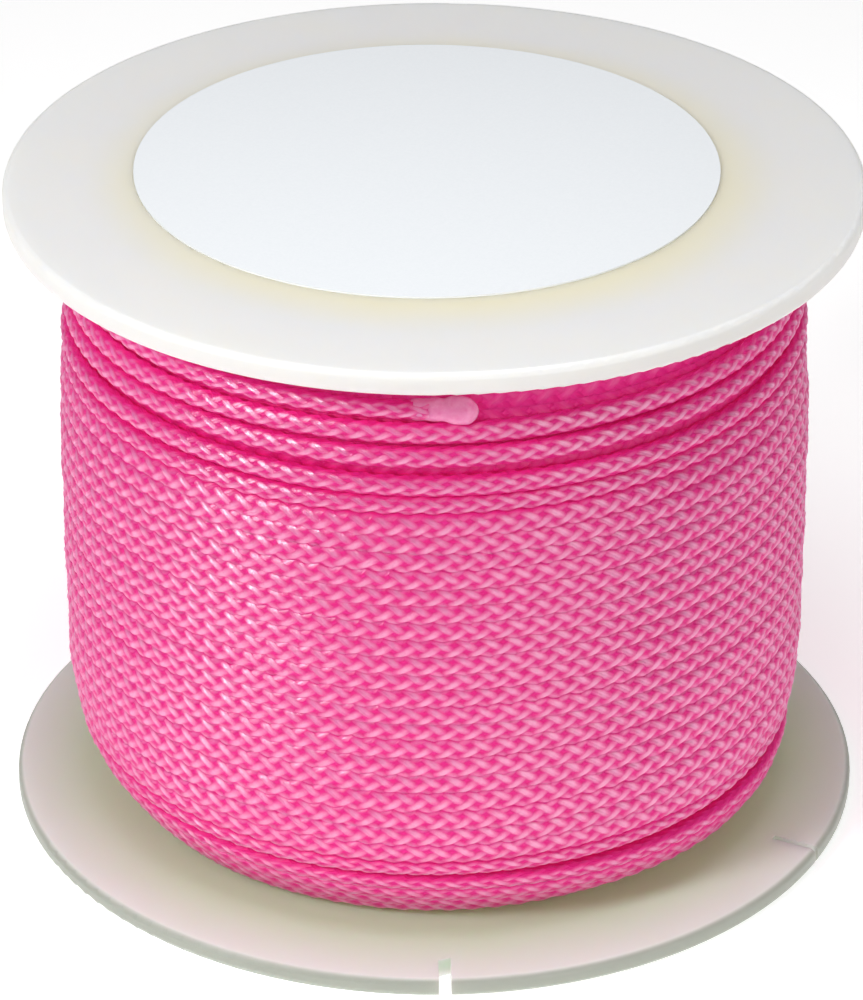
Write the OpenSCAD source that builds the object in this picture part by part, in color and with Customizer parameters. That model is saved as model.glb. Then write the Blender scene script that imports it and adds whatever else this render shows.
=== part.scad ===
// Spool of braided line: two moulded flanges on a barrel, a hub tube round the axle bore, a round
// label on the upper flange, and the line wound on the barrel.
// The spool stands on its lower flange. Its axis is Z, and the origin is the centre of its base.
// Angles about the axis are counted from +X, and the front of the spool faces -Y.

/* [Spool] */
// Height over both flanges
spool_h = 64; // [55:1:90]
// Bore for the axle that the spool turns on
bore_d = 12; // [6:0.5:16]
// Chamfer at the mouths of the bore
bore_chamfer = 0.5; // [0.2:0.1:1]
// Radial clearance where one piece is pressed onto another
seat_clearance = 0.05; // [0.02:0.01:0.15]

/* [Flanges] */
// Diameter of the upper flange
upper_flange_d = 80; // [76:0.2:100]
// Thickness of the upper flange
upper_flange_t = 2.2; // [1.6:0.1:4]
// Diameter of the lower flange
lower_flange_d = 81.4; // [76:0.2:100]
// Thickness of the lower flange
lower_flange_t = 1.8; // [1.6:0.1:4]
// Radius of the rounded rim edges
rim_round = 0.6; // [0.2:0.1:0.7]
// Wall of the collar that plugs into the barrel
collar_wall = 1.4; // [0.8:0.1:2.5]
// Depth of that collar inside the barrel
collar_h = 6; // [3:0.5:8]
// Wall of the ring that holds the hub tube
hub_ring_wall = 1.4; // [0.8:0.1:2]
// Height of the ring that holds the hub tube
hub_ring_h = 4; // [2:0.5:6]
// Number of stiffening ribs between that ring and the collar
rib_count = 6; // [3:1:12]
// Thickness of a rib
rib_t = 1.2; // [0.8:0.1:2]
// Height of a rib
rib_h = 3; // [1:0.5:4]

/* [Line slots in the lower flange] */
// Width of the open notch at the front rim
notch_w = 1.15; // [0.6:0.05:3]
// Depth of the notch at the middle of its slanted end
notch_depth = 3.6; // [2:0.1:4.5]
// How much deeper one side of the notch runs than the other
notch_slant = 0.5; // [0:0.1:1]
// Direction of the notch
notch_angle = -88.6; // [-100:0.1:-80]
// Width of the narrow slit that grips the line
slit_w = 0.6; // [0.4:0.05:1]
// Depth of the slit
slit_depth = 4.5; // [2:0.1:5]
// Direction of the slit
slit_angle = -26.5; // [-40:0.1:-15]

/* [Barrel and hub tube] */
// Outer diameter of the barrel
barrel_d = 46; // [38:0.5:48]
// Wall of the barrel
barrel_wall = 1.5; // [1:0.1:3]
// Wall of the hub tube
hub_tube_wall = 1.6; // [1:0.1:2.5]

/* [Label] */
// Diameter of the label
label_d = 54.5; // [30:0.5:70]
// Thickness of the label
label_t = 0.15; // [0.1:0.05:0.5]
// Offset of the label to the left of the axis
label_left = 0.7; // [0:0.1:2]
// Offset of the label behind the axis
label_back = 1.9; // [0:0.1:2]

/* [Line] */
// Diameter of the braided line
line_d = 1.75; // [1.2:0.05:2]
// Clear gap between neighbouring turns of the outer layer
turn_gap = 0.55; // [0.5:0.05:1.5]
// Diameter of the wound pack over its widest turns
pack_d = 70.8; // [66:0.2:74]
// How far the first turn, on the lower flange, lies inside the widest one
foot_inset = 5.6; // [2:0.1:7]
// Height over which the pack swells from its first turn to its full width
shoulder_h = 18; // [10:0.5:22]
// Height of the widest turns above the base
crown_z = 38; // [30:0.5:42]
// How far the last turn, under the upper flange, lies inside the widest one
top_inset = 2.4; // [0:0.1:4]
// How far the free end hangs below its place close under the upper flange
end_drop = 2.9; // [0:0.1:4]
// Height over which the last turns run loose, down to the regular ones
loose_h = 12; // [8:0.5:18]
// Direction in which the outer layer comes up from the layer below
layer_start_angle = 90; // [60:1:150]
// Direction in which the outer turns end
layer_end_angle = 266; // [240:1:300]
// Diameter of the melted end of the line
tip_d = 1.95; // [1.8:0.05:2]
// Length of the melted end
tip_l = 4.4; // [2.5:0.1:8]
// Diameter of the knot that anchors the line inside the barrel
knot_d = 4.2; // [3:0.1:5]
// Height of the knot above the collar
knot_rise = 6; // [3:0.5:15]
// Clearance of the line in the barrel's hole, in diameter
anchor_clearance = 0.5; // [0.2:0.1:1]
// Clearance between the wound layers and what they lie on
pack_clearance = 0.1; // [0.05:0.05:0.3]

/* [Hidden] */

// Fineness of the round shapes
round_fn = 72;
small_fn = 24;
rim_fn = 16;
// Cuts run this far past the faces that they open
overcut = 1;

// Heights of the flanges' inner faces, between which everything else lies
inner_z0 = lower_flange_t;
inner_z1 = spool_h - upper_flange_t;
inner_h = inner_z1 - inner_z0;

// Fits along the hub
hub_tube_d = bore_d + 2 * hub_tube_wall;
hub_ring_id = hub_tube_d + 2 * seat_clearance;
hub_ring_od = hub_ring_id + 2 * hub_ring_wall;
barrel_id = barrel_d - 2 * barrel_wall;
collar_od = barrel_id - 2 * seat_clearance;
collar_id = collar_od - 2 * collar_wall;
knot_z = inner_z0 + collar_h + knot_rise;

// The outer layer: one helix that rises anticlockwise, seen from above
loop_fn = 24;
tube_sides = 6;
ring_step = 360 / loop_fn;
bend_steps = 6;
shoulder_power = 3.6;
lean_power = 6;
line_r = line_d / 2;
first_turn_z = inner_z0 + line_r + pack_clearance;
last_turn_z = inner_z1 - line_r - pack_clearance - end_drop;
part_turn = (layer_end_angle - layer_start_angle) / 360;
full_turns = floor((last_turn_z - first_turn_z) / (line_d + turn_gap) - part_turn);
layer_turns = full_turns + part_turn;
turn_pitch = (last_turn_z - first_turn_z) / layer_turns;
ring_count = round(layer_turns * loop_fn);
widest_turn_r = pack_d / 2 - line_r;
// The line dives to the layer below round a bend of two diameters, and ends in a straight run
dive_bend = 2 * line_d;
end_run = line_d;

// Radius of the line's centre at height z: a swelling foot, a widest turn and a slight draw-in above
function foot_share(z) = max(0, 1 - (z - first_turn_z) / shoulder_h);
function crown_share(z) = max(0, (z - crown_z) / (inner_z1 - crown_z));
function turn_r(z) = widest_turn_r
    - foot_inset * pow(foot_share(z), shoulder_power)
    - top_inset * pow(crown_share(z), 2);

// Slope angle of that profile, by a small step in height
slope_step = 0.1;
function turn_slope(z) = atan((turn_r(z + slope_step) - turn_r(z - slope_step)) / (2 * slope_step));

// The last turns lean: on the left they stay up under the flange, and elsewhere they sag
function smooth_share(s) = s <= 0 ? 0 : s >= 1 ? 1 : s * s * (3 - 2 * s);
function lean_side(angle) = pow((1 - cos(angle)) / 2, lean_power);
function lean(angle, z) =
    end_drop * lean_side(angle) * smooth_share((z - (last_turn_z - loose_h)) / loose_h);

// Centre of the line after the given number of turns of the outer layer
function turn_point(turns) =
    let (angle = layer_start_angle + 360 * turns,
         level = first_turn_z + turn_pitch * turns,
         z = level + lean(angle, level))
    [turn_r(z) * cos(angle), turn_r(z) * sin(angle), z];

// The start, seen at its own direction: out of the layer below, and round into the first turn
start_r = turn_r(first_turn_z);
function start_place(out, along) = [
    out * cos(layer_start_angle) - along * sin(layer_start_angle),
    out * sin(layer_start_angle) + along * cos(layer_start_angle),
    first_turn_z
];
dive_floor_r = start_r - dive_bend - end_run;
dive_points = concat(
    [start_place(dive_floor_r, -dive_bend)],
    [for (step = [0 : bend_steps - 1])
        let (turned = 90 * step / bend_steps)
        start_place(start_r - dive_bend + dive_bend * sin(turned), -dive_bend * cos(turned))]
);
wind_points = [for (ring = [0 : ring_count]) turn_point(ring * layer_turns / ring_count)];

// The end: a straight run along the last turn's direction
last_point = wind_points[ring_count];
end_direction = [-sin(layer_end_angle), cos(layer_end_angle), 0];
line_points = concat(dive_points, wind_points, [last_point + end_run * end_direction]);

// Least clear gap between one turn and the next, measured on the helix's points
turn_gaps = [
    for (ring = [0 : ring_count - loop_fn])
    for (near = [-2 : 2])
        let (other = ring + loop_fn + near)
        if (other <= ring_count) norm(wind_points[other] - wind_points[ring]) - line_d
];
echo(outer_layer_turns = layer_turns, least_gap_between_turns = min(turn_gaps));

// Unit vectors for sweeping a tube along points
function unit(v) = v / norm(v);
function heading(points, i) =
    unit(points[min(i + 1, len(points) - 1)] - points[max(i - 1, 0)]);
function ring_at(points, i, radius) =
    let (ahead = heading(points, i),
         level = unit(cross(ahead, [0, 0, 1])),
         rise = cross(level, ahead))
    [for (side = [0 : tube_sides - 1])
        let (turned = 360 * side / tube_sides)
        points[i] + radius * (cos(turned) * level + sin(turned) * rise)];

// A closed tube of triangles along a list of points
module swept_tube(points, radius) {
    rings = len(points);
    corners = [for (i = [0 : rings - 1]) each ring_at(points, i, radius)];
    walls = [
        for (i = [0 : rings - 2])
        for (side = [0 : tube_sides - 1])
            let (next = (side + 1) % tube_sides,
                 a = i * tube_sides + side,
                 b = i * tube_sides + next,
                 c = (i + 1) * tube_sides + next,
                 d = (i + 1) * tube_sides + side)
            each [[a, b, c], [a, c, d]]
    ];
    first_cap = [for (side = [1 : tube_sides - 2]) [0, side + 1, side]];
    far = (rings - 1) * tube_sides;
    last_cap = [for (side = [1 : tube_sides - 2]) [far, far + side, far + side + 1]];
    polyhedron(points = corners, faces = concat(walls, first_cap, last_cap));
}

// A plain tube on the axis, standing on z = 0
module tube(outer_d, inner_d, h) {
    difference() {
        cylinder(d = outer_d, h = h, $fn = round_fn);
        translate([0, 0, -overcut]) cylinder(d = inner_d, h = h + 2 * overcut, $fn = round_fn);
    }
}

// A flat disc with rounded rim edges, standing on z = 0
module rounded_disc(d, t) {
    rim_r = d / 2 - rim_round;
    rotate_extrude($fn = round_fn) {
        square([rim_r, t]);
        translate([0, rim_round]) square([d / 2, t - 2 * rim_round]);
        translate([rim_r, rim_round]) circle(r = rim_round, $fn = rim_fn);
        translate([rim_r, t - rim_round]) circle(r = rim_round, $fn = rim_fn);
    }
}

// A flange with its hub side up: the outer face lies on z = 0, and the collar, ring and ribs stand on t
module flange(d, t) {
    difference() {
        union() {
            rounded_disc(d, t);
            translate([0, 0, t]) tube(collar_od, collar_id, collar_h);
            translate([0, 0, t]) tube(hub_ring_od, hub_ring_id, hub_ring_h);
            translate([0, 0, t]) hub_ribs();
        }
        translate([0, 0, -overcut]) cylinder(d = bore_d, h = t + 2 * overcut, $fn = round_fn);
        bore_mouth();
    }
}

// Ribs between the hub ring and the collar, let a little into both
module hub_ribs() {
    let_in = 0.3;
    rib_from = hub_ring_od / 2 - let_in;
    rib_to = collar_id / 2 + let_in;
    for (rib = [0 : rib_count - 1]) {
        rotate([0, 0, 360 * rib / rib_count])
            translate([rib_from, -rib_t / 2, 0]) cube([rib_to - rib_from, rib_t, rib_h]);
    }
}

// Chamfer cutter at the mouth of the bore, on z = 0
module bore_mouth() {
    mouth_d = bore_d + 2 * bore_chamfer;
    translate([0, 0, -overcut]) cylinder(
        d1 = mouth_d + 2 * overcut, d2 = bore_d, h = bore_chamfer + overcut, $fn = round_fn);
}

// Open notch at the rim, with a slanted inner end
module line_notch(rim_r, t) {
    end_x = rim_r - notch_depth;
    rotate([0, 0, notch_angle])
        translate([0, 0, -overcut])
            linear_extrude(t + 2 * overcut)
                polygon([
                    [rim_r + overcut, -notch_w / 2], [rim_r + overcut, notch_w / 2],
                    [end_x - notch_slant / 2, notch_w / 2], [end_x + notch_slant / 2, -notch_w / 2]
                ]);
}

// Narrow slit at the rim, cut right through
module line_slit(rim_r, t) {
    rotate([0, 0, slit_angle])
        translate([rim_r - slit_depth, -slit_w / 2, -overcut])
            cube([slit_depth + overcut, slit_w, t + 2 * overcut]);
}

module lower_flange() {
    color("gainsboro") difference() {
        flange(lower_flange_d, lower_flange_t);
        line_notch(lower_flange_d / 2, lower_flange_t);
        line_slit(lower_flange_d / 2, lower_flange_t);
    }
}

module upper_flange() {
    color("ivory")
        translate([0, 0, spool_h]) rotate([180, 0, 0]) flange(upper_flange_d, upper_flange_t);
}

module barrel() {
    color("whitesmoke") difference() {
        translate([0, 0, inner_z0]) tube(barrel_d, barrel_id, inner_h);
        anchor_hole();
    }
}

// The hole through which the line's inner end reaches the knot
module anchor_hole() {
    rotate([0, 0, layer_start_angle])
        translate([0, 0, knot_z]) rotate([0, 90, 0])
            cylinder(d = line_d + anchor_clearance, h = barrel_d, $fn = small_fn);
}

module hub_tube() {
    color("whitesmoke")
        translate([0, 0, inner_z0]) tube(hub_tube_d, bore_d, inner_h);
}

module top_label() {
    color("aliceblue")
        translate([-label_left, label_back, spool_h]) cylinder(d = label_d, h = label_t, $fn = round_fn);
}

// The inner layers: a solid ring whose side follows the outer layer from inside, below its chords
chord_sag = widest_turn_r * (1 - cos(ring_step / 2));
backing = line_r + chord_sag + pack_clearance;
profile_steps = 14;
profile_top_z = inner_z1 - backing;
function backing_point(z) =
    let (slope = turn_slope(z)) [turn_r(z) - backing * cos(slope), z + backing * sin(slope)];
backing_curve = [
    for (step = [0 : profile_steps])
        backing_point(first_turn_z + (profile_top_z - first_turn_z) * step / profile_steps)
];
foot_corner_r = start_r - backing;

module line_inner_layers() {
    inside_r = barrel_d / 2 + pack_clearance;
    top_corner = [backing_curve[profile_steps][0], inner_z1];
    outline = concat(
        [[inside_r, inner_z0], [foot_corner_r, inner_z0], [foot_corner_r, first_turn_z]],
        backing_curve,
        [top_corner, [inside_r, inner_z1]]
    );
    color("mediumvioletred") difference() {
        rotate_extrude($fn = round_fn) polygon(outline);
        dive_pocket();
    }
}

// The pocket where the outer layer comes up from the layer below
module dive_pocket() {
    side_room = line_r + pack_clearance;
    rotate([0, 0, layer_start_angle])
        translate([dive_floor_r, -dive_bend - side_room, inner_z0 - overcut])
            cube([dive_bend + 3 * line_d, dive_bend + 2 * side_room,
                  overcut + first_turn_z - inner_z0 + side_room + pack_clearance]);
}

module line_outer_layer() {
    color("deeppink") swept_tube(line_points, line_r);
}

// The melted end: a round bead that carries on the line's last straight run
module line_end_tip() {
    start = line_points[len(line_points) - 1];
    color("hotpink")
        translate(start) rotate([0, 0, layer_end_angle]) rotate([-90, 0, 0]) {
            cylinder(d = tip_d, h = tip_l - tip_d / 2, $fn = small_fn);
            translate([0, 0, tip_l - tip_d / 2]) sphere(d = tip_d, $fn = small_fn);
        }
}

// The inner end: the line passes the barrel's wall and ends in a knot that lies against it
module line_start_knot() {
    knot_r = barrel_id / 2 - knot_d / 2;
    line_from = barrel_d / 2;
    color("deeppink")
        rotate([0, 0, layer_start_angle]) translate([0, 0, knot_z]) {
            translate([knot_r, 0, 0]) sphere(d = knot_d, $fn = small_fn);
            translate([knot_r, 0, 0]) rotate([0, 90, 0])
                cylinder(d = line_d, h = line_from - knot_r, $fn = small_fn);
        }
}

lower_flange();
upper_flange();
barrel();
hub_tube();
top_label();
line_inner_layers();
line_outer_layer();
line_end_tip();
line_start_knot();
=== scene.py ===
"""Looks of a spool of braided line.

Two moulded polypropylene flanges, a blank paper label, and a hot pink braided line wound on the barrel.
Lengths are given in millimetres and turned to metres by MM. Angles round the axis are counted from +X, and
the front of the spool faces -Y.
"""

import logging
import math
from collections.abc import Callable
from dataclasses import dataclass, field
from enum import Enum
from functools import partial

import bmesh
import bpy
import numpy as np
from mathutils import Matrix, Vector


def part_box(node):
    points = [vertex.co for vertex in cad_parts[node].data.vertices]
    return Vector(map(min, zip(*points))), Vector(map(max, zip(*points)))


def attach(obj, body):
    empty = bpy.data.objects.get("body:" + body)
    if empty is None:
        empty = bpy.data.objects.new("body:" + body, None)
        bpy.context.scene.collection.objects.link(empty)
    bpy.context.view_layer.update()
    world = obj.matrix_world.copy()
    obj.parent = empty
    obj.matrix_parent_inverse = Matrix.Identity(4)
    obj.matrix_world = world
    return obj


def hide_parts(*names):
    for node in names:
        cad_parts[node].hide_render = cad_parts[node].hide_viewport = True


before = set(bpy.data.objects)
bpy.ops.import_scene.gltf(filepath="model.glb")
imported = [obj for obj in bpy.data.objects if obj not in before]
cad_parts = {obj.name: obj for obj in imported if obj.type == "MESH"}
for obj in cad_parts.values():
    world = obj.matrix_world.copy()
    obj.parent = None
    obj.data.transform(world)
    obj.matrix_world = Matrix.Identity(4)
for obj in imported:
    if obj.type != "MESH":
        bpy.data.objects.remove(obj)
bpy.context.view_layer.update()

MM = 0.001
TURN = 2.0 * math.pi
LOG = logging.getLogger("spool")
NodeMaker = Callable[..., bpy.types.Node]
Stations = dict[str, np.ndarray]

# Blender's names for the kinds of node that are used most
MATHS = "ShaderNodeMath"
VECTORS = "ShaderNodeVectorMath"
RANGE = "ShaderNodeMapRange"
NOISE = "ShaderNodeTexNoise"
MIX = "ShaderNodeMix"
BUMP = "ShaderNodeBump"
PRINCIPLED = "ShaderNodeBsdfPrincipled"
COORDINATES = "ShaderNodeTexCoord"
SURFACE = "ShaderNodeOutputMaterial"


# ---- Small tools ----


def linear_colour(hex_code: str) -> tuple[float, float, float, float]:
    """Turns an sRGB hex colour to the linear values that shaders take.

    Args:
        hex_code: Six hex digits after a hash sign.

    Returns:
        Linear red, green and blue, with an alpha of 1.
    """
    channels = [int(hex_code[i : i + 2], 16) / 255.0 for i in (1, 3, 5)]
    linear = [c / 12.92 if c <= 0.04045 else ((c + 0.055) / 1.055) ** 2.4 for c in channels]
    return linear[0], linear[1], linear[2], 1.0


def add_node(
    tree: bpy.types.NodeTree,
    kind: str,
    settings: dict[str, object] | str | None = None,
    inputs: dict[str | int, object] | None = None,
) -> bpy.types.Node:
    """Adds a node with its settings, and sets or links its inputs.

    Args:
        tree: The tree that gets the node.
        kind: Blender's name for the kind of node.
        settings: Properties of the node by name, or the name of its operation alone.
        inputs: Values, sockets or nodes by input name or index. A node stands for its first output.

    Returns:
        The new node.
    """
    node = tree.nodes.new(kind)
    chosen = {"operation": settings} if isinstance(settings, str) else settings or {}
    for name, value in chosen.items():
        setattr(node, name, value)
    for key, value in (inputs or {}).items():
        source = value.outputs[0] if isinstance(value, bpy.types.Node) else value
        if isinstance(source, bpy.types.NodeSocket):
            tree.links.new(source, node.inputs[key])
        else:
            node.inputs[key].default_value = source
    return node


def start_material(name: str) -> tuple[bpy.types.Material, NodeMaker]:
    """Makes a material with an empty tree.

    Args:
        name: Name of the material.

    Returns:
        The material, and add_node bound to its tree.
    """
    made = bpy.data.materials.new(name)
    made.use_nodes = True
    made.node_tree.nodes.clear()
    return made, partial(add_node, made.node_tree)


def smooth_share(share: float) -> float:
    """Eases a share between 0 and 1, and holds it at both ends."""
    held = min(max(share, 0.0), 1.0)
    return held * held * (3.0 - 2.0 * held)


def piece_from_mesh(name: str, mesh: bpy.types.Mesh, material: bpy.types.Material) -> bpy.types.Object:
    """Makes an object at the origin from a finished mesh.

    Args:
        name: Name of the piece.
        mesh: The mesh, in metres in the spool's own frame.
        material: The finish of the whole piece.

    Returns:
        The object, linked to the scene.
    """
    mesh.name = name
    mesh.materials.clear()
    mesh.materials.append(material)
    piece = bpy.data.objects.new(name, mesh)
    bpy.context.scene.collection.objects.link(piece)
    return piece


def mesh_from_shape(name: str, shape: bmesh.types.BMesh) -> bpy.types.Mesh:
    """Turns a closed shape into a smooth mesh whose faces point outwards.

    Args:
        name: Name of the mesh.
        shape: The shape, which is freed.

    Returns:
        The mesh.
    """
    mesh = bpy.data.meshes.new(name)
    bmesh.ops.recalc_face_normals(shape, faces=shape.faces)
    shape.to_mesh(mesh)
    shape.free()
    mesh.shade_smooth()
    return mesh


class Slot(Enum):
    """Names of the material slots of the spool's record for the line and its melted end."""

    LINE = "braided_line"
    MELTED = "melted_line"


def hand_over(piece: bpy.types.Object, node: str) -> None:
    """Lets a piece stand for a node and move with the spool's one body.

    Args:
        piece: The finished piece.
        node: The node that it stands for.
    """
    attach(piece, "root")
    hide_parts(node)
    LOG.info("%s: %d faces, for %s", piece.name, len(piece.data.polygons), node)


# ---- The pattern of the braid, used by both the shape and the finish of the line ----


@dataclass(frozen=True)
class Braid:
    """A round braid: strands that run both ways round the line and pass over and under each other."""

    strands_each_way: int = 5
    repeat: float = 2.17
    lift: float = 0.35
    girth: float = 5.5
    fullness: float = 0.78

    def add_fibre_tangent(self, node: NodeMaker, rising_on_top: bpy.types.Node) -> bpy.types.Node:
        """Adds the direction of the filaments, square to which their gloss is drawn out.

        Args:
            node: Adds a node to the shader tree.
            rising_on_top: A node that gives 1 where a rising strand shows and 0 where a falling one does.

        Returns:
            The node that gives the direction.
        """
        place = node(COORDINATES).outputs["Object"]
        normal = node("ShaderNodeNewGeometry").outputs["Normal"]
        round_axis = node(VECTORS, "CROSS_PRODUCT", {0: (0.0, 0.0, 1.0), 1: place})
        ahead = node(VECTORS, "NORMALIZE", {0: round_axis})
        across = node(VECTORS, "CROSS_PRODUCT", {0: normal, 1: ahead})
        climb = self.girth / self.strands_each_way
        lean = node(MATHS, "MULTIPLY_ADD", {0: rising_on_top, 1: 2.0 * climb, 2: -climb})
        sideways = node(VECTORS, "SCALE", {0: across, "Scale": lean})
        forwards = node(VECTORS, "SCALE", {0: ahead, "Scale": self.repeat})
        both = node(VECTORS, "ADD", {0: sideways, 1: forwards})
        return node(VECTORS, "NORMALIZE", {0: both})

    def add_heights(
        self, node: NodeMaker, along: bpy.types.NodeSocket, around: bpy.types.NodeSocket | bpy.types.Node
    ) -> dict[str, bpy.types.Node]:
        """Adds the nodes that work out the height of the braid at a place on the line.

        Args:
            node: Adds a node to a shader tree or a geometry tree.
            along: Distance along the line, in millimetres.
            around: Place round the line, in turns.

        Returns:
            The nodes for "u" and "v", the counts of strands crossed each way, for the "rising" and "falling"
            strands' heights, and for the "top", the higher of the two.
        """
        columns = node(MATHS, "MULTIPLY", {0: around, 1: float(self.strands_each_way)})
        rows = node(MATHS, "DIVIDE", {0: along, 1: self.repeat})
        u = node(MATHS, "ADD", {0: columns, 1: rows})
        v = node(MATHS, "SUBTRACT", {0: columns, 1: rows})
        waves = []
        bellies = []
        for count in (u, v):
            angle = node(MATHS, "MULTIPLY", {0: count, 1: math.pi})
            waves.append(node(MATHS, "COSINE", {0: angle}))
            off = node(MATHS, "PINGPONG", {0: count, 1: 0.5})
            side = node(MATHS, "MULTIPLY", {0: off, 1: 2.0 / self.fullness})
            fall = node(MATHS, "POWER", {0: side, 1: 2.0})
            bellies.append(node(MATHS, "SMOOTH_MIN", {0: fall, 1: 1.0, 2: 0.3}))
        weave = node(MATHS, "MULTIPLY", {0: waves[0], 1: waves[1]})
        lifted = node(MATHS, "MULTIPLY", {0: weave, 1: self.lift})
        lowered = node(MATHS, "MULTIPLY", {0: weave, 1: -self.lift})
        rising = node(MATHS, "SUBTRACT", {0: lifted, 1: bellies[1]})
        falling = node(MATHS, "SUBTRACT", {0: lowered, 1: bellies[0]})
        top = node(MATHS, "SMOOTH_MAX", {0: rising, 1: falling, 2: 0.12})
        return {"u": u, "v": v, "rising": rising, "falling": falling, "top": top}


# ---- Finishes ----


@dataclass(frozen=True)
class NaturalPolypropylene:
    """Natural polypropylene, injection moulded: milky, lets light through, with a soft satin gloss."""

    name: str = "natural_polypropylene_moulded"
    body: str = "#E6E7E7"
    painted_glow: str = "#EDE7CC"
    light_depth: float = 2.6
    glow_inner: float = 25.0
    glow_outer: float = 33.0
    painted_edge_shade: str = "#E7E7E4"
    edge_radius: float = 40.0
    edge_blend: float = 0.5
    foot: str = "#E4E5E0"
    foot_height: float = 1.1
    mottle: float = 9.0
    grain: float = 0.35

    def material(self) -> bpy.types.Material:
        """Builds the shader: light that scatters in the plastic, a painted glow of light from the line where
        the disc lies over the wound pack, a plain foot, a rim darkened with painted shade, and a faint mould
        texture.

        Returns:
            The material.
        """
        made, node = start_material(self.name)
        smooth = {"interpolation_type": "SMOOTHSTEP"}
        falling = {"To Min": 1.0, "To Max": 0.0}
        place = node(COORDINATES).outputs["Object"]
        flat = node(VECTORS, "MULTIPLY", {0: place, 1: (1.0, 1.0, 0.0)})
        radius = node(VECTORS, "LENGTH", {0: flat}).outputs["Value"]
        height = node("ShaderNodeSeparateXYZ", None, {"Vector": place}).outputs["Z"]
        cloud = node(
            NOISE, None, {"Vector": place, "Scale": 1.0 / (self.mottle * MM), "Detail": 3.0, "Roughness": 0.5}
        )
        # Painted glow: a yellowish tint near the hub, fading out over the pack, stands in for light bounced
        # from the line through the plastic; the cloud mottles it
        reach = {"From Min": self.glow_inner * MM, "From Max": self.glow_outer * MM}
        glow = node(RANGE, smooth, {"Value": radius, **reach, **falling})
        tint = node(MATHS, "MULTIPLY_ADD", {0: cloud, 1: 0.35, 2: -0.15})
        painted_glow_and_mottle = node(MATHS, {"operation": "ADD", "use_clamp": True}, {0: glow, 1: tint})
        # The side that the spool stands on, where none of the line's colour falls
        reach = {"From Min": 0.3 * MM, "From Max": self.foot_height * MM}
        at_foot = node(RANGE, None, {"Value": height, **reach, **falling})
        # Painted shade: the rim band takes the rim tone, which darkens it
        reach = {"From Min": (self.edge_radius - self.edge_blend) * MM, "From Max": self.edge_radius * MM}
        at_edge = node(RANGE, smooth, {"Value": radius, **reach})
        colour = linear_colour(self.body)
        for share, tone in ((painted_glow_and_mottle, self.painted_glow), (at_foot, self.foot), (at_edge, self.painted_edge_shade)):
            blend = {"Factor": share, "A": colour, "B": linear_colour(tone)}
            colour = node(MIX, {"data_type": "RGBA"}, blend).outputs["Result"]
        grain = node(
            NOISE, None, {"Vector": place, "Scale": 1.0 / (self.grain * MM), "Detail": 2.0, "Roughness": 0.6}
        )
        bump = node(BUMP, None, {"Strength": 0.12, "Distance": 0.02 * MM, "Height": grain})
        rough = node(RANGE, None, {"Value": cloud, "To Min": 0.34, "To Max": 0.5})
        shader = node(
            PRINCIPLED,
            {"subsurface_method": "RANDOM_WALK"},
            {
                "Base Color": colour,
                "Roughness": rough,
                "IOR": 1.49,
                "Subsurface Weight": 0.85,
                "Subsurface Radius": (1.0, 0.95, 0.85),
                "Subsurface Scale": self.light_depth * MM,
                "Specular IOR Level": 0.45,
                "Normal": bump,
            },
        )
        node(SURFACE, None, {"Surface": shader})
        return made


@dataclass(frozen=True)
class LabelPaper:
    """Coated label paper: cool white, nearly matt, with a fine calendered tooth."""

    name: str = "coated_label_paper"
    face: str = "#EAEEF2"
    fibre: str = "#F4F7FA"
    tooth: float = 0.25

    def material(self) -> bpy.types.Material:
        """Builds the shader: a cool white face whose fibres show only as a slight unevenness.

        Returns:
            The material.
        """
        made, node = start_material(self.name)
        place = node(COORDINATES).outputs["Object"]
        fibres = node(
            NOISE, None, {"Vector": place, "Scale": 1.0 / (self.tooth * MM), "Detail": 4.0, "Roughness": 0.65}
        )
        blend = {"Factor": fibres, "A": linear_colour(self.face), "B": linear_colour(self.fibre)}
        colour = node(MIX, {"data_type": "RGBA"}, blend).outputs["Result"]
        bump = node(BUMP, None, {"Strength": 0.15, "Distance": 0.01 * MM, "Height": fibres})
        surface = {"Base Color": colour, "Roughness": 0.62, "Specular IOR Level": 0.3, "Normal": bump}
        shader = node(PRINCIPLED, None, surface)
        node(SURFACE, None, {"Surface": shader})
        return made


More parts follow.
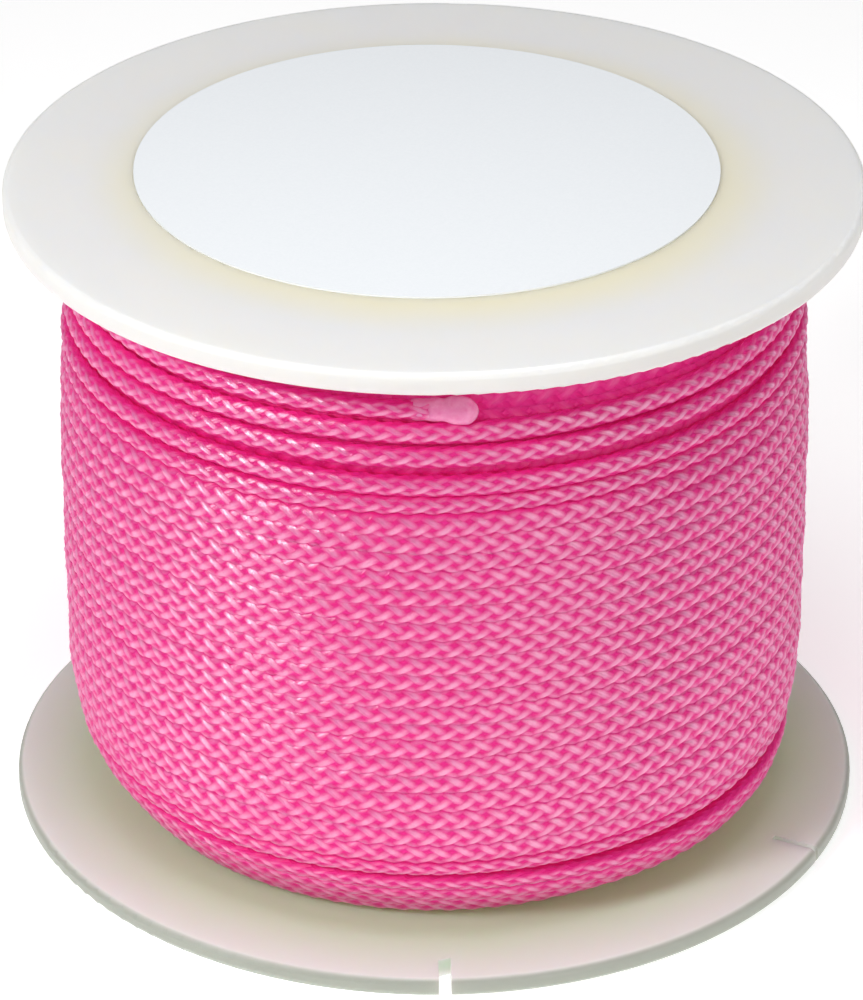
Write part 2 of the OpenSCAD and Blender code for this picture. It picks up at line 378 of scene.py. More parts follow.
@dataclass(frozen=True)
class BraidedPolypropylene:
    """Braided polypropylene line: dyed hot pink, with the silky gloss of bundled filaments.

    Light goes far into the strands, and the finish paints shade and a magenta glow into the gaps between them
    and a paler sheen on the crowns.
    """

    name: str = "braided_polypropylene_dyed"
    # The gap colour carries painted shade and the crown colour a painted sheen, besides the line's own pink
    gap: str = "#E7268A"
    body: str = "#EC3F96"
    crown: str = "#F355A8"
    filaments: int = 4
    fuzz: float = 0.5
    gloss: float = 0.34
    gloss_spread: float = 0.4
    gloss_tint: str = "#FFF2F8"
    painted_gap_glow: str = "#FF1F86"
    painted_glow_strength: float = 0.09

    def material(self, braid: Braid) -> bpy.types.Material:
        """Builds the shader on the line's own coordinates, so that the pattern follows every turn.

        The real filaments are some 0.03 mm thick; each drawn one stands for a bundle of them.

        Args:
            braid: The pattern of the strands.

        Returns:
            The material.
        """
        made, node = start_material(self.name)
        along, around, outer = (
            node("ShaderNodeAttribute", {"attribute_name": key}).outputs["Fac"]
            for key in ("along", "around", "outer")
        )
        heights = braid.add_heights(node, along, around)
        rising_on_top = node(MATHS, "GREATER_THAN", {0: heights["rising"], 1: heights["falling"]})
        crossed = {"Factor": rising_on_top, "A": heights["u"], "B": heights["v"]}
        across = node(MIX, {"data_type": "FLOAT"}, crossed)
        stripes = node(MATHS, "MULTIPLY", {0: across, 1: TURN * self.filaments})
        filament = node(MATHS, "COSINE", {0: stripes})
        place = node(COORDINATES).outputs["Object"]
        cloud = node(
            NOISE, None, {"Vector": place, "Scale": 1.0 / (self.fuzz * MM), "Detail": 3.0, "Roughness": 0.6}
        )
        height = node(RANGE, None, {"Value": heights["top"], "From Min": -0.95, "From Max": 0.3})
        # Painted shade: on the sides of each turn and on buried line the colour runs towards the gap tone
        crevice_shade = node(
            RANGE,
            {"interpolation_type": "SMOOTHSTEP"},
            {"Value": outer, "From Min": 0.5, "From Max": 0.86, "To Min": 0.2, "To Max": 1.0},
        )
        tone = node(MATHS, "MULTIPLY_ADD", {0: cloud, 1: 0.5, 2: -0.25})
        toned = node(MATHS, {"operation": "ADD", "use_clamp": True}, {0: height, 1: tone})
        level = node(MATHS, "MULTIPLY", {0: toned, 1: crevice_shade})
        # The ramp paints shade with the gap colour and a sheen with the paler crown colour, over the strands'
        # own pink
        ramp = node("ShaderNodeValToRGB", None, {"Fac": level})
        ramp.color_ramp.elements[0].position = 0.15
        ramp.color_ramp.elements[0].color = linear_colour(self.gap)
        ramp.color_ramp.elements[1].color = linear_colour(self.crown)
        middle = ramp.color_ramp.elements.new(0.6)
        middle.color = linear_colour(self.body)
        grooves = node(MATHS, "MULTIPLY_ADD", {0: filament, 1: 0.05, 2: heights["top"]})
        relief = node(MATHS, "MULTIPLY_ADD", {0: cloud, 1: 0.3, 2: grooves})
        bump = node(BUMP, None, {"Strength": 1.0, "Distance": 0.16 * MM, "Height": relief})
        tangent = braid.add_fibre_tangent(node, rising_on_top)
        # Painted glow: magenta light given off in the gaps, crevices and buried line, for light bounced
        # between strands
        gap_glow = node(MATHS, "MULTIPLY_ADD", {0: level, 1: -self.painted_glow_strength, 2: self.painted_glow_strength})
        shader = node(
            PRINCIPLED,
            {"subsurface_method": "RANDOM_WALK"},
            {
                "Base Color": ramp,
                "Roughness": 0.45,
                "IOR": 1.49,
                "Specular IOR Level": 0.3,
                "Subsurface Weight": 0.5,
                "Subsurface Radius": (1.0, 0.5, 1.0),
                "Subsurface Scale": 0.4 * MM,
                "Emission Color": linear_colour(self.painted_gap_glow),
                "Emission Strength": gap_glow,
                "Normal": bump,
            },
        )
        gloss = node(
            "ShaderNodeBsdfAnisotropic",
            None,
            {
                "Color": linear_colour(self.gloss_tint),
                "Roughness": self.gloss_spread,
                "Anisotropy": 0.55,
                "Tangent": tangent,
                "Normal": bump,
            },
        )
        # The gloss thins in the painted shade as well
        crest = node(MATHS, "POWER", {0: level, 1: 2.0})
        share = node(MATHS, "MULTIPLY", {0: crest, 1: self.gloss})
        silky = node("ShaderNodeMixShader", None, {"Fac": share, 1: shader, 2: gloss})
        node(SURFACE, None, {"Surface": silky})
        return made


@dataclass(frozen=True)
class MeltedPolypropylene:
    """The same polypropylene after a flame: strands run together into a glossy, paler bead."""

    name: str = "melted_polypropylene"
    body: str = "#F066A8"
    pale: str = "#FBAAD2"
    lump: float = 0.7

    def material(self) -> bpy.types.Material:
        """Builds the shader: cloudy pink with a wet gloss and shallow lumps.

        Returns:
            The material.
        """
        made, node = start_material(self.name)
        place = node(COORDINATES).outputs["Object"]
        cloud = node(
            NOISE, None, {"Vector": place, "Scale": 1.0 / (self.lump * MM), "Detail": 2.0, "Roughness": 0.5}
        )
        blend = {"Factor": cloud, "A": linear_colour(self.body), "B": linear_colour(self.pale)}
        colour = node(MIX, {"data_type": "RGBA"}, blend).outputs["Result"]
        bump = node(BUMP, None, {"Strength": 0.5, "Distance": 0.1 * MM, "Height": cloud})
        shader = node(
            PRINCIPLED,
            None,
            {
                "Base Color": colour,
                "Roughness": 0.16,
                "IOR": 1.49,
                "Specular IOR Level": 0.8,
                "Subsurface Weight": 0.4,
                "Subsurface Radius": (1.0, 0.4, 0.6),
                "Subsurface Scale": 0.6 * MM,
                "Normal": bump,
            },
        )
        node(SURFACE, None, {"Surface": shader})
        return made


@dataclass(frozen=True)
class StudioPaper:
    """White translucent sheet of a shooting table, matt, lit from below under and behind the spool."""

    name: str = "studio_table_sheet"
    face: str = "#FBFBFB"
    backlight: float = 0.5
    lit_from: float = -56.0
    dark_from: float = -100.0

    def material(self) -> bpy.types.Material:
        """Builds the shader of the floor: plain matt white, with the table's lamp under its rear part only.

        Returns:
            The material.
        """
        made, node = start_material(self.name)
        place = node(COORDINATES).outputs["Object"]
        back = node("ShaderNodeSeparateXYZ", None, {"Vector": place}).outputs["Y"]
        reach = {"From Min": self.dark_from * MM, "From Max": self.lit_from * MM}
        backlight = node(
            RANGE,
            {"interpolation_type": "SMOOTHSTEP"},
            {"Value": back, **reach, "To Min": 0.0, "To Max": self.backlight},
        )
        shader = node(
            PRINCIPLED,
            None,
            {
                "Base Color": linear_colour(self.face),
                "Roughness": 0.9,
                "Specular IOR Level": 0.1,
                "Emission Color": linear_colour("#FFFFFF"),
                "Emission Strength": backlight,
            },
        )
        node(SURFACE, None, {"Surface": shader})
        return made


# ---- The route of the line ----


@dataclass(frozen=True)
class PackProfile:
    """Side of the wound pack: radius of the outer turns' centre at a height, in millimetres."""

    first_z: float
    top_z: float
    widest_r: float
    foot_inset: float = 5.6
    shoulder_h: float = 18.0
    shoulder_power: float = 3.6
    crown_z: float = 38.0
    top_inset: float = 2.4

    def radius(self, z: float) -> float:
        """Works out the radius at a height: a swelling foot, a widest turn and a slight draw-in above.

        Args:
            z: Height in millimetres.

        Returns:
            The radius in millimetres.
        """
        foot = max(0.0, 1.0 - (z - self.first_z) / self.shoulder_h)
        crown = max(0.0, (z - self.crown_z) / (self.top_z - self.crown_z))
        return self.widest_r - self.foot_inset * foot**self.shoulder_power - self.top_inset * crown**2

    def slope(self, z: float) -> float:
        """Change of the radius with height."""
        step = 0.05
        return (self.radius(z + step) - self.radius(z - step)) / (2.0 * step)


@dataclass(frozen=True)
class Opening:
    """A gap that opens between two turns, and how wide it is in four directions."""

    after_turn: int
    front: float
    left: float
    back: float
    right: float

    def width(self, angle: float) -> float:
        """Width of the gap in a direction, eased from one quarter to the next.

        Args:
            angle: Direction round the axis, in radians from +X.

        Returns:
            The width in millimetres.
        """
        quarters = (self.right, self.back, self.left, self.front)
        place = (angle / (TURN / 4.0)) % 4.0
        low = int(place)
        share = smooth_share(place - low)
        return quarters[low] * (1.0 - share) + quarters[(low + 1) % 4] * share

    def push(self, turns: float, angle: float) -> float:
        """How far the gap lifts the line at a place on its route.

        Args:
            turns: Turns of the layer so far.
            angle: Direction round the axis, in radians from +X.

        Returns:
            The lift in millimetres.
        """
        above = smooth_share((turns - self.after_turn + 0.12) / 0.24)
        mean = (self.front + self.left + self.back + self.right) / 4.0
        fades = math.exp(-max(0.0, turns - self.after_turn) / 2.5)
        return above * (mean + (self.width(angle) - mean) * fades)


@dataclass(frozen=True)
class Layer:
    """One wound layer: how its turns are spaced, where gaps open, and how its line is pressed flat.

    Each entry of spacing is a height and the distance between turns there. The pitch that the line's own
    width follows stays between least_pitch and most_pitch.
    """

    profile: PackProfile
    last_z: float
    end_angle: float
    start_angle: float = 90.0
    inward: float = 0.0
    rises: bool = True
    line_r: float = 0.875
    press: float = 0.45
    spacing: tuple[tuple[float, float], ...] = (
        (2.8, 1.76),
        (8.4, 1.80),
        (9.5, 1.93),
        (20.0, 1.90),
        (24.0, 1.74),
        (44.0, 1.74),
        (47.0, 1.98),
        (60.0, 2.10),
    )
    least_pitch: float = 1.72
    most_pitch: float = 2.06
    openings: tuple[Opening, ...] = ()
    steps_per_turn: int = 180

    def levels(self) -> tuple[np.ndarray, np.ndarray]:
        """Works out the height of the line against its count of turns, spaced along the pack's side.

        Returns:
            Counts of turns and the heights that go with them. The count at the last height ends on the
            layer's end direction.
        """
        heights = np.arange(self.profile.first_z, self.last_z, 0.02)
        radii = np.array([self.profile.radius(z) for z in heights])
        run = np.hypot(np.diff(radii), np.diff(heights))
        pitch = np.interp(heights[:-1], *zip(*self.spacing))
        turns = np.concatenate([[0.0], np.cumsum(run / pitch)])
        part = ((self.end_angle - self.start_angle) / 360.0) % 1.0
        whole = round(turns[-1] - part)
        return turns * (whole + part) / turns[-1], heights

    def stations(self) -> Stations:
        """Walks along the line and notes where it runs and how it is pressed.

        Returns:
            Arrays by name: "turns", "centre" and the directions "outward", "upward" and "tangent" as
            vectors, and the half width "wide" along the pack's side and the half thickness "thick", in
            metres.
        """
        turns_known, heights = self.levels()
        total = turns_known[-1]
        count = int(total * self.steps_per_turn) + 1
        rows: dict[str, list] = {key: [] for key in ("turns", "centre", "outward", "wide", "thick")}
        for turns in np.linspace(0.0, total, count):
            angle = math.radians(self.start_angle) + TURN * turns
            level_turns = turns if self.rises else total - turns
            z = float(np.interp(level_turns, turns_known, heights))
            ahead = float(np.interp(min(level_turns + 0.5, total), turns_known, heights))
            behind = float(np.interp(max(level_turns - 0.5, 0.0), turns_known, heights))
            z += sum(gap.push(level_turns, angle) for gap in self.openings)
            # Laid by hand: each turn wanders a few hundredths of a millimetre
            z += 0.05 * math.sin(2.0 * angle + 1.9 * turns) + 0.03 * math.sin(5.0 * angle - 0.7 * turns)
            slope = self.profile.slope(z)
            out = Vector((math.cos(angle), math.sin(angle), -slope)).normalized()
            radius = self.profile.radius(z) - self.inward + self.swell(z, angle, turns)
            lean = math.hypot(1.0, slope)
            pitch = min(max((ahead - behind) * lean, self.least_pitch), self.most_pitch)
            half_width = pitch / 2.0 + self.pressed(level_turns)
            rows["turns"].append(turns)
            rows["centre"].append((radius * math.cos(angle), radius * math.sin(angle), z))
            rows["outward"].append(tuple(out))
            rows["wide"].append(half_width)
            rows["thick"].append(self.line_r * self.line_r / (pitch / 2.0))
        made = {key: np.array(value) for key, value in rows.items()}
        for key in ("centre", "wide", "thick"):
            made[key] = made[key] * MM
        tangent = np.gradient(made["centre"], axis=0)
        tangent /= np.linalg.norm(tangent, axis=1)[:, None]
        upward = np.cross(made["outward"], tangent)
        made["upward"] = upward / np.linalg.norm(upward, axis=1)[:, None]
        made["tangent"] = tangent
        return made

    def pressed(self, turns: float) -> float:
        """How far the line spreads against its neighbours, beyond half the pitch.

        Args:
            turns: Turns of the layer so far.

        Returns:
            The spread in millimetres, which fades beside a gap, where no neighbour holds the line.
        """
        free = max((smooth_share(1.7 - abs(turns - gap.after_turn)) for gap in self.openings), default=0.0)
        return self.press * (1.0 - free)

    def swell(self, z: float, angle: float, turns: float) -> float:
        """Extra radius where the hand-laid turns ride a little proud of the even layer.

        Args:
            z: Height in millimetres.
            angle: Direction round the axis, in radians from +X.
            turns: Turns of the layer so far.

        Returns:
            The extra radius in millimetres.
        """
        loose_top = 0.35 * smooth_share((z - 47.5) / 3.0)
        from_right = math.cos(angle - math.radians(-32.0))
        near_foot = smooth_share((9.5 - z) / 2.5) * smooth_share((z - 2.4) / 3.0)
        loose_foot = 1.2 * max(0.0, from_right) ** 3 * near_foot
        uneven = 0.05 * math.sin(3.0 * angle + 2.3 * turns) + 0.04 * math.sin(7.0 * angle - 1.1 * turns)
        return loose_top + loose_foot + uneven


# ---- The braided line as a swept shape ----


@dataclass(frozen=True)
class Detail:
    """How finely a length of line is swept.

    The distance between rings and the height of the strands are in millimetres. Twist is how far the line
    may turn on itself along its way, in turns, and seed picks its drift. Openness is how far the line lies
    in the open: 1 in the outer layer, less where it is buried; the finish paints shade and glow by it.
    """

    ring_spacing: float
    sides: int
    relief: float
    twist: float = 0.08
    openness: float = 1.0
    seed: int = 3


@dataclass
class BraidedSweep:
    """Geometry tree that sweeps the braided line along a path of stations."""

    braid: Braid
    tree: bpy.types.NodeTree = field(init=False)
    sockets: dict[str, str] = field(init=False, default_factory=dict)

    def __post_init__(self) -> None:
        """Builds the tree once, for every length of line."""
        self.tree = bpy.data.node_groups.new("braided_line_sweep", "GeometryNodeTree")
        self.tree.is_modifier = True
        self._add_interface()
        self._add_nodes()

    def _add_interface(self) -> None:
        """Names the tree's inputs and its output."""
        kinds = {
            "Path": "Geometry",
            "Ring Spacing": "Float",
            "Sides": "Int",
            "Strand Relief": "Float",
            "Twist": "Float",
            "Openness": "Float",
            "Seed": "Int",
            "Finish": "Material",
        }
        add = self.tree.interface.new_socket
        for name, kind in kinds.items():
            self.sockets[name] = add(name=name, in_out="INPUT", socket_type=f"NodeSocket{kind}").identifier
        add(name="Line", in_out="OUTPUT", socket_type="NodeSocketGeometry")

    def _add_nodes(self) -> None:
        """Sweeps a ring of points along the path, presses it flat and raises the strands."""
        node = partial(add_node, self.tree)
        store = {"data_type": "FLOAT", "domain": "POINT"}
        given = node("NodeGroupInput").outputs
        curve = node("GeometryNodeMeshToCurve", None, {"Mesh": given["Path"]})
        spaced = node(
            "GeometryNodeResampleCurve", {"mode": "LENGTH"}, {"Curve": curve, "Length": given["Ring Spacing"]}
        )
        ring = node(
            "GeometryNodeCurvePrimitiveCircle",
            {"mode": "RADIUS"},
            {"Resolution": given["Sides"], "Radius": 0.3 * MM},
        )
        # Points of the ring stand closer on the side that shows, and its seam lies on the hidden side
        share = node("GeometryNodeSplineParameter").outputs["Factor"]
        plain = node(MATHS, "MULTIPLY_ADD", {0: share, 1: TURN, 2: -math.pi})
        swing = node(MATHS, "MULTIPLY", {0: share, 1: TURN})
        wave = node(MATHS, "SINE", {0: swing})
        ring_angle = node(MATHS, "MULTIPLY_ADD", {0: wave, 1: 0.35, 2: plain})
        marked = node(
            "GeometryNodeStoreNamedAttribute",
            store,
            {"Geometry": ring.outputs["Curve"], "Name": "ring_angle", "Value": ring_angle},
        )
        swept = node(
            "GeometryNodeCurveToMesh", None, {"Curve": spaced, "Profile Curve": marked, "Fill Caps": True}
        )
        kinds = dict.fromkeys(("ring_angle", "along", "wide", "thick"), "FLOAT")
        kinds |= dict.fromkeys(("centre", "outward", "upward"), "FLOAT_VECTOR")
        read = {}
        for name, kind in kinds.items():
            noted = node("GeometryNodeInputNamedAttribute", {"data_type": kind}, {"Name": name})
            read[name] = noted.outputs["Attribute"]
        place = node(MATHS, "MULTIPLY_ADD", {0: read["along"], 1: 0.011, 2: given["Seed"]})
        drift = node(NOISE, {"noise_dimensions": "1D"}, {"W": place, "Scale": 1.0})
        twist = node(MATHS, "MULTIPLY", {0: drift.outputs["Fac"], 1: given["Twist"]})
        around = node(MATHS, "MULTIPLY_ADD", {0: read["ring_angle"], 1: 1.0 / TURN, 2: twist})
        heights = self.braid.add_heights(node, read["along"], around)
        relief = node(MATHS, "MULTIPLY", {0: heights["top"], 1: given["Strand Relief"]})
        reach = []
        for size, turn, way in (("thick", "COSINE", "outward"), ("wide", "SINE", "upward")):
            radius = node(MATHS, "ADD", {0: read[size], 1: relief})
            side = node(MATHS, turn, {0: read["ring_angle"]})
            length = node(MATHS, "MULTIPLY", {0: radius, 1: side})
            reach.append(node(VECTORS, "SCALE", {0: read[way], "Scale": length}))
        off = node(VECTORS, "ADD", {0: reach[0], 1: reach[1]})
        spot = node(VECTORS, "ADD", {0: read["centre"], 1: off})
        shaped = node("GeometryNodeSetPosition", None, {"Geometry": swept, "Position": spot})
        # Stored as outer for the finish, which paints shade and glow on the sides of each turn and on buried
        # line by it
        facing = node(MATHS, "COSINE", {0: read["ring_angle"]})
        outer = node(MATHS, "MULTIPLY", {0: facing, 1: given["Openness"]})
        stored = shaped
        for key, value in (("around", around), ("outer", outer)):
            noted = {"Geometry": stored, "Name": key, "Value": value}
            stored = node("GeometryNodeStoreNamedAttribute", store, noted)
        # End caps stay flat, so the shading runs on where two lengths meet
        corners = node("GeometryNodeInputMeshFaceNeighbors").outputs["Vertex Count"]
        on_side = node(MATHS, "LESS_THAN", {0: corners, 1: 4.5})
        smooth = node("GeometryNodeSetShadeSmooth", None, {"Geometry": stored, "Shade Smooth": on_side})
        real = node("GeometryNodeRealizeInstances", None, {"Geometry": smooth})
        dressed = node("GeometryNodeSetMaterial", None, {"Geometry": real, "Material": given["Finish"]})
        node("NodeGroupOutput", None, {"Line": dressed})

    def piece(
        self, name: str, stations: Stations, finish: bpy.types.Material, detail: Detail
    ) -> bpy.types.Object:
        """Sweeps one length of line and makes it a plain mesh.

        Args:
            name: Name of the piece.
            stations: Where the line runs, as Layer.stations gives it, with "along" in millimetres.
            finish: Material of the line.
            detail: How finely it is swept.

        Returns:
            The piece, at the origin, with no modifier left.
        """
        count = len(stations["along"])
        mesh = bpy.data.meshes.new(name)
        mesh.from_pydata(stations["centre"].tolist(), [(i, i + 1) for i in range(count - 1)], [])
        for key in ("along", "wide", "thick"):
            made = mesh.attributes.new(key, "FLOAT", "POINT")
            made.data.foreach_set("value", stations[key].astype(np.float32))
        for key in ("centre", "outward", "upward"):
            made = mesh.attributes.new(key, "FLOAT_VECTOR", "POINT")
            made.data.foreach_set("vector", stations[key].astype(np.float32).ravel())
        piece = bpy.data.objects.new(name, mesh)
        bpy.context.scene.collection.objects.link(piece)
        modifier = piece.modifiers.new("braided_line", "NODES")
        modifier.node_group = self.tree
        values = {
            "Ring Spacing": detail.ring_spacing * MM,
            "Sides": detail.sides,
            "Strand Relief": detail.relief * MM,
            "Twist": detail.twist,
            "Openness": detail.openness,
            "Seed": detail.seed,
            "Finish": finish,
        }
        for key, value in values.items():
            modifier[self.sockets[key]] = value
        graph = bpy.context.evaluated_depsgraph_get()
        plain = bpy.data.meshes.new_from_object(piece.evaluated_get(graph), depsgraph=graph)
        piece.modifiers.remove(modifier)
        piece.data = plain
        plain.name = name
        bpy.data.meshes.remove(mesh)
        for spare in ("centre", "outward", "upward", "wide", "thick", "ring_angle"):
            found = plain.attributes.get(spare)
            if found is not None:
                plain.attributes.remove(found)
        return piece


# ---- Sub-assemblies ----


@dataclass
class MouldedSpool:
    """The moulded flanges, barrel and hub tube, and the label stuck on the upper flange."""

    plastic: NaturalPolypropylene = NaturalPolypropylene()
    # The lower flange: a greenish painted glow near the pack, and a rim darkened with painted shade
    low_plastic: NaturalPolypropylene = NaturalPolypropylene(
        name="natural_polypropylene_thinner",
        body="#E3EBE6",
        painted_glow="#D0E6CC",
        glow_inner=31.0,
        glow_outer=41.0,
        painted_edge_shade="#A3A99F",
        edge_radius=40.6,
    )
    paper: LabelPaper = LabelPaper()

    def dress(self) -> None:
        """Gives each carried-over node its finish."""
        plastic = self.plastic.material()
        paper = self.paper.material()
        finishes = {
            "lower_flange": self.low_plastic.material(),
            "upper_flange": plastic,
            "barrel": plastic,
            "hub_tube": plastic,
            "top_label": paper,
        }
        for node, finish in finishes.items():
            for mesh_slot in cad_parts[node].material_slots:
                mesh_slot.material = finish
            LOG.info("%s: %s", node, finish.name)


@dataclass
class WoundLine:
    """The line on the barrel: inner layers, outer layer, melted end and starting knot."""

    braid: Braid = Braid()
    line_r: float = 0.875
    clearance: float = 0.1
    turns_per_piece: int = 4
    outer_detail: Detail = Detail(ring_spacing=0.217, sides=20, relief=0.19)
    # Openness below 1 paints shade and glow on the buried layer
    under_detail: Detail = Detail(ring_spacing=0.62, sides=9, relief=0.05, openness=0.62, seed=11)
    knot_detail: Detail = Detail(ring_spacing=0.2, sides=14, relief=0.05, seed=7)
    end_z: float = 56.9
    last_rise: float = 1.3
    inner_step: float = 1.05
    core_steps: int = 60
    core_spokes: int = 120
    tip_length: float = 6.0
    tip_setback: float = 1.6
    tip_half_width: float = 1.25
    tip_half_thickness: float = 0.95
    tip_rings: int = 34
    tip_sides: int = 28
    knot_r: float = 0.62
    knot_points: int = 97
    stem_points: int = 8

    def __post_init__(self) -> None:
        """Takes the pack's room from the frame."""
        low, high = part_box("barrel")
        outer_low, outer_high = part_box("line_outer_layer")
        self.floor_z = low.z / MM
        self.ceiling_z = high.z / MM
        self.profile = PackProfile(
            first_z=self.floor_z + self.line_r + self.clearance,
            top_z=self.ceiling_z,
            widest_r=(outer_high.x - outer_low.x) / 2.0 / MM - self.line_r,
        )
        self.finish = BraidedPolypropylene().material(self.braid)
        self.melted = MeltedPolypropylene().material()
        self.sweep = BraidedSweep(self.braid)

    def build(self) -> None:
        """Builds every piece of the line."""
        outer = Layer(
            profile=self.profile,
            last_z=self.end_z - self.last_rise,
            end_angle=269.2,
            openings=(
                Opening(4, front=0.35, left=0.5, back=0.2, right=0.9),
                Opening(26, front=0.0, left=0.4, back=0.1, right=0.0),
                Opening(27, front=0.8, left=0.55, back=0.5, right=0.45),
                Opening(28, front=0.12, left=0.3, back=0.1, right=0.2),
                Opening(29, front=0.08, left=0.1, back=0.1, right=0.1),
            ),
        )
        stations = self._with_length(outer.stations())
        self._build_outer_layer(stations)
        self._build_tip(stations)
        self._build_inner_layers()
        self._build_start_knot()

    @staticmethod
    def _with_length(stations: Stations) -> Stations:
        """Adds the distance along the line to its stations.

        Args:
            stations: The stations, with "centre" in metres.

        Returns:
            The same stations, with "along" in millimetres.
        """
        steps = np.linalg.norm(np.diff(stations["centre"], axis=0), axis=1)
        stations["along"] = np.concatenate([[0.0], np.cumsum(steps)]) / MM
        return stations

    def _build_outer_layer(self, stations: Stations) -> None:
        """Sweeps the outer layer in lengths of a few turns, which meet end to end at the back.

        Args:
            stations: The whole route of the layer.
        """
        turns = stations["turns"]
        cuts = list(range(0, int(turns[-1]), self.turns_per_piece))
        if turns[-1] - cuts[-1] < 1.0:
            cuts.pop()
        # Two lengths that meet share the station between them, so no gap shows
        shared = [*np.searchsorted(turns, cuts).tolist(), len(turns) - 1]
        for number, (first, last) in enumerate(zip(shared[:-1], shared[1:]), start=1):
            part = {key: value[first : last + 1] for key, value in stations.items()}
            piece = self.sweep.piece(f"line_outer_layer_{number}", part, self.finish, self.outer_detail)
            hand_over(piece, "line_outer_layer")

    def _build_inner_layers(self) -> None:
        """Builds the layer under the outer one as turns, on a plain core that fills the rest."""
        under = Layer(
            profile=self.profile,
            last_z=self.ceiling_z - self.line_r - self.clearance,
            end_angle=60.0,
            inward=self.inner_step,
            rises=False,
        )
        stations = self._with_length(under.stations())
        piece = self.sweep.piece("line_under_layer", stations, self.finish, self.under_detail)
        hand_over(piece, "line_inner_layers")
        core = self._core_mesh()
        hand_over(piece_from_mesh("line_core", core, self.finish), "line_inner_layers")

    def _core_mesh(self) -> bpy.types.Mesh:
        """Turns the outline of the buried layers round the axis.

        Returns:
            A closed ring that fits between the flanges, round the barrel.
        """
        inside_r = (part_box("barrel")[1].x / MM) + self.clearance
        low, high = self.floor_z + 0.05, self.ceiling_z - 0.05
        side = []
        for i in range(self.core_steps + 1):
            z = low + (high - low) * i / self.core_steps
            reach = self.profile.radius(max(z, self.profile.first_z)) - self.inner_step
            side.append((reach - 0.15, z))
        outline = [(inside_r, low), *side, (inside_r, high)]
        shape = bmesh.new()
        rings = []
        for spoke in range(self.core_spokes):
            angle = TURN * spoke / self.core_spokes
            across, along = MM * math.cos(angle), MM * math.sin(angle)
            rings.append([shape.verts.new((r * across, r * along, z * MM)) for r, z in outline])
        for spoke in range(self.core_spokes):
            here, there = rings[spoke], rings[(spoke + 1) % self.core_spokes]
            for i in range(len(outline)):
                j = (i + 1) % len(outline)
                shape.faces.new((here[i], there[i], there[j], here[j]))
        return mesh_from_shape("line_core", shape)

    def _build_tip(self, stations: Stations) -> None:
        """Builds the melted end: a flattened bead with a rounded nose that grows out of the line.

        Args:
            stations: The route of the outer layer, which the bead ends.
        """
        centre = Vector(stations["centre"][-1])
        ahead = Vector(stations["tangent"][-1])
        out = Vector(stations["outward"][-1])
        up = out.cross(ahead).normalized()
        shape = bmesh.new()
        loops = []
        for ring in range(self.tip_rings + 1):
            share = ring / self.tip_rings
            swell = smooth_share(share / 0.6)
            nose = math.sqrt(max(0.0, 1.0 - max(0.0, (share - 0.7) / 0.3) ** 2))
            lump = 1.0 + 0.08 * math.sin(9.0 * share + 0.6) + 0.04 * math.sin(23.0 * share)
            wide = (self.line_r * (1.0 - swell) + self.tip_half_width * swell) * nose * lump * MM
            thick = (0.8 * (1.0 - swell) + self.tip_half_thickness * swell) * nose * lump * MM
            forward = (self.tip_length * share - self.tip_setback) * MM
            middle = centre + ahead * forward + out * (0.2 * swell - 0.15) * MM
            if ring == self.tip_rings:
                loops.append([shape.verts.new(middle)])
                continue
            loop = []
            for side in range(self.tip_sides):
                angle = TURN * side / self.tip_sides
                uneven = 1.0 + 0.05 * math.sin(3.0 * angle + 5.0 * share)
                spot = middle + out * thick * math.cos(angle) + up * wide * math.sin(angle) * uneven
                loop.append(shape.verts.new(spot))
            loops.append(loop)
        shape.faces.new(loops[0])
        for low, high in zip(loops[:-1], loops[1:]):
            for side in range(self.tip_sides):
                after = (side + 1) % self.tip_sides
                if len(high) == 1:
                    shape.faces.new((low[side], low[after], high[0]))
                else:
                    shape.faces.new((low[side], low[after], high[after], high[side]))
        mesh = mesh_from_shape("line_end_tip_melted", shape)
        piece = piece_from_mesh("line_end_tip_melted", mesh, self.melted)
        hand_over(piece, "line_end_tip")

    def _build_start_knot(self) -> None:
        """Builds the knot inside the barrel: a tight overhand knot on a stem through the barrel's hole."""
        low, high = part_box("line_start_knot")
        middle = (low + high) / 2.0
        size = (high.z - low.z) / 2.0
        knot_y = low.y + size
        tight_r = self.knot_r * MM
        scale = (size - tight_r) / 3.0
        points = []
        for step in range(self.knot_points):
            turned = TURN * step / self.knot_points + 0.5
            points.append(
                (
                    middle.x + scale * (math.sin(turned) + 2.0 * math.sin(2.0 * turned)),
                    knot_y - scale * 1.4 * math.sin(3.0 * turned),
                    middle.z + scale * (math.cos(turned) - 2.0 * math.cos(2.0 * turned)),
                )
            )
        stem_from = points[-1]
        for step in range(1, self.stem_points + 1):
            share = step / self.stem_points
            ease = smooth_share(share * 2.0)
            points.append(
                (
                    stem_from[0] * (1.0 - ease) + middle.x * ease,
                    stem_from[1] + (high.y - stem_from[1]) * share,
                    stem_from[2] * (1.0 - ease) + middle.z * ease,
                )
            )
        stations = self._framed(np.array(points), tight_r)
        piece = self.sweep.piece("line_start_knot_tied", stations, self.finish, self.knot_detail)
        hand_over(piece, "line_start_knot")

    def _framed(self, centres: np.ndarray, radius: float) -> Stations:
        """Adds directions and sizes to a free route of points.

        Args:
            centres: The points, in metres.
            radius: Radius of the line there, in metres.

        Returns:
            Stations for a sweep.
        """
        ahead = np.gradient(centres, axis=0)
        ahead /= np.linalg.norm(ahead, axis=1)[:, None]
        # A direction that the route never runs along
        outward = np.cross(ahead, np.array([0.31, 0.17, 0.94]))
        outward /= np.linalg.norm(outward, axis=1)[:, None]
        stations = {
            "centre": centres,
            "outward": outward,
            "upward": np.cross(outward, ahead),
            "wide": np.full(len(centres), radius),
            "thick": np.full(len(centres), radius),
        }
        return self._with_length(stations)


# ---- The studio ----


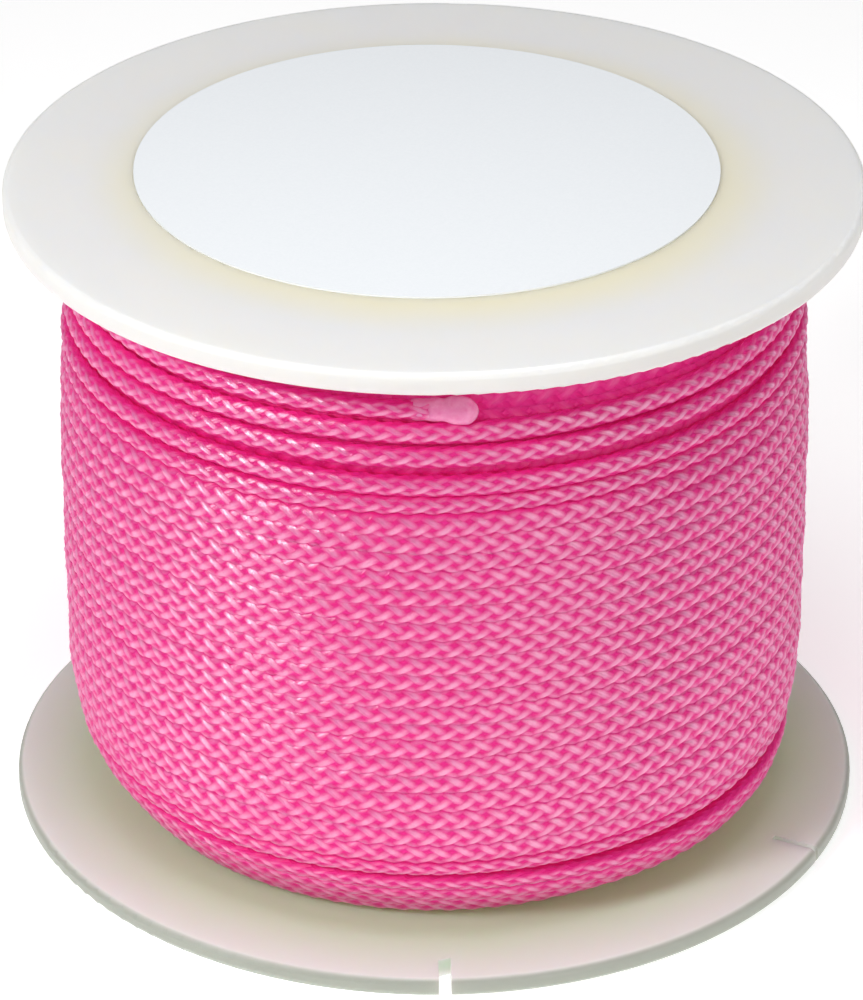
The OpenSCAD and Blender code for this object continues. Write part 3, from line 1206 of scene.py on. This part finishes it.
@dataclass(frozen=True)
class Softbox:
    """A round lamp behind a white cloth, aimed at the spool."""

    name: str
    azimuth: float
    elevation: float
    distance: float
    size: float
    watts: float

    def place(self, target: Vector) -> None:
        """Hangs the lamp.

        Args:
            target: The point that it is aimed at.
        """
        lamp = bpy.data.lights.new(self.name, "AREA")
        lamp.shape = "DISK"
        lamp.size = self.size
        lamp.energy = self.watts
        holder = bpy.data.objects.new(self.name, lamp)
        bpy.context.scene.collection.objects.link(holder)
        angle, rise = math.radians(self.azimuth), math.radians(self.elevation)
        away = Vector((math.cos(angle) * math.cos(rise), math.sin(angle) * math.cos(rise), math.sin(rise)))
        holder.location = target + away * self.distance
        holder.rotation_euler = away.to_track_quat("Z", "Y").to_euler()


@dataclass
class Studio:
    """Floor, lamps and camera, with distances in metres."""

    distance: float = 0.520
    elevation: float = 28.902
    lens: float = 195.73
    target: tuple[float, float, float] = (-0.000275, 0.0, 0.029651)
    floor_half: float = 3.0
    floor_drop: float = 0.03 * MM
    sky: str = "#FFFFFF"
    sky_strength: float = 0.22
    lamps: tuple[Softbox, ...] = (
        Softbox("key_softbox", azimuth=-138.0, elevation=33.0, distance=0.5, size=0.12, watts=1.1),
        Softbox("front_softbox", azimuth=-52.0, elevation=16.0, distance=0.7, size=0.6, watts=1.25),
        Softbox("top_softbox", azimuth=-92.0, elevation=75.5, distance=0.221, size=0.12, watts=0.2),
    )

    def build(self) -> None:
        """Sets up the floor, the sky, the lamps and the camera."""
        self._lay_floor()
        self._light_sky()
        aim = Vector(self.target)
        for lamp in self.lamps:
            lamp.place(aim)
        self._set_camera(aim)
        bpy.context.scene.view_settings.view_transform = "Standard"
        LOG.info("studio: %d lamps", len(self.lamps))

    def _lay_floor(self) -> None:
        """Lays a plain white floor a hair under the spool, so that its light enters the lower flange."""
        half, low = self.floor_half, -self.floor_drop
        mesh = bpy.data.meshes.new("studio_floor")
        corners = [(-half, -half, low), (half, -half, low), (half, half, low), (-half, half, low)]
        mesh.from_pydata(corners, [], [(0, 1, 2, 3)])
        floor = piece_from_mesh("studio_floor", mesh, StudioPaper().material())

    def _light_sky(self) -> None:
        """Gives even light from all round."""
        world = bpy.data.worlds.new("studio_light")
        world.use_nodes = True
        world.node_tree.nodes.clear()
        node = partial(add_node, world.node_tree)
        even = {"Color": linear_colour(self.sky), "Strength": self.sky_strength}
        sky = node("ShaderNodeBackground", None, even)
        node("ShaderNodeOutputWorld", None, {"Surface": sky})
        bpy.context.scene.world = world

    def _set_camera(self, aim: Vector) -> None:
        """Puts the camera in front of the spool, looking down on it.

        Args:
            aim: The point in the middle of the picture.
        """
        data = bpy.data.cameras.new("camera")
        data.lens = self.lens
        data.clip_start = 0.01
        camera = bpy.data.objects.new("camera", data)
        bpy.context.scene.collection.objects.link(camera)
        rise = math.radians(self.elevation)
        away = Vector((0.0, -math.cos(rise), math.sin(rise)))
        turn = away.to_track_quat("Z", "Y").to_matrix().to_4x4()
        camera.matrix_world = Matrix.Translation(aim + away * self.distance) @ turn
        bpy.context.scene.camera = camera


def main() -> None:
    """Builds the spool piece by piece, then the studio round it."""
    logging.basicConfig(level=logging.INFO, format="%(name)s: %(message)s")
    MouldedSpool().dress()
    WoundLine().build()
    Studio().build()


if __name__ == "__main__":
    main()
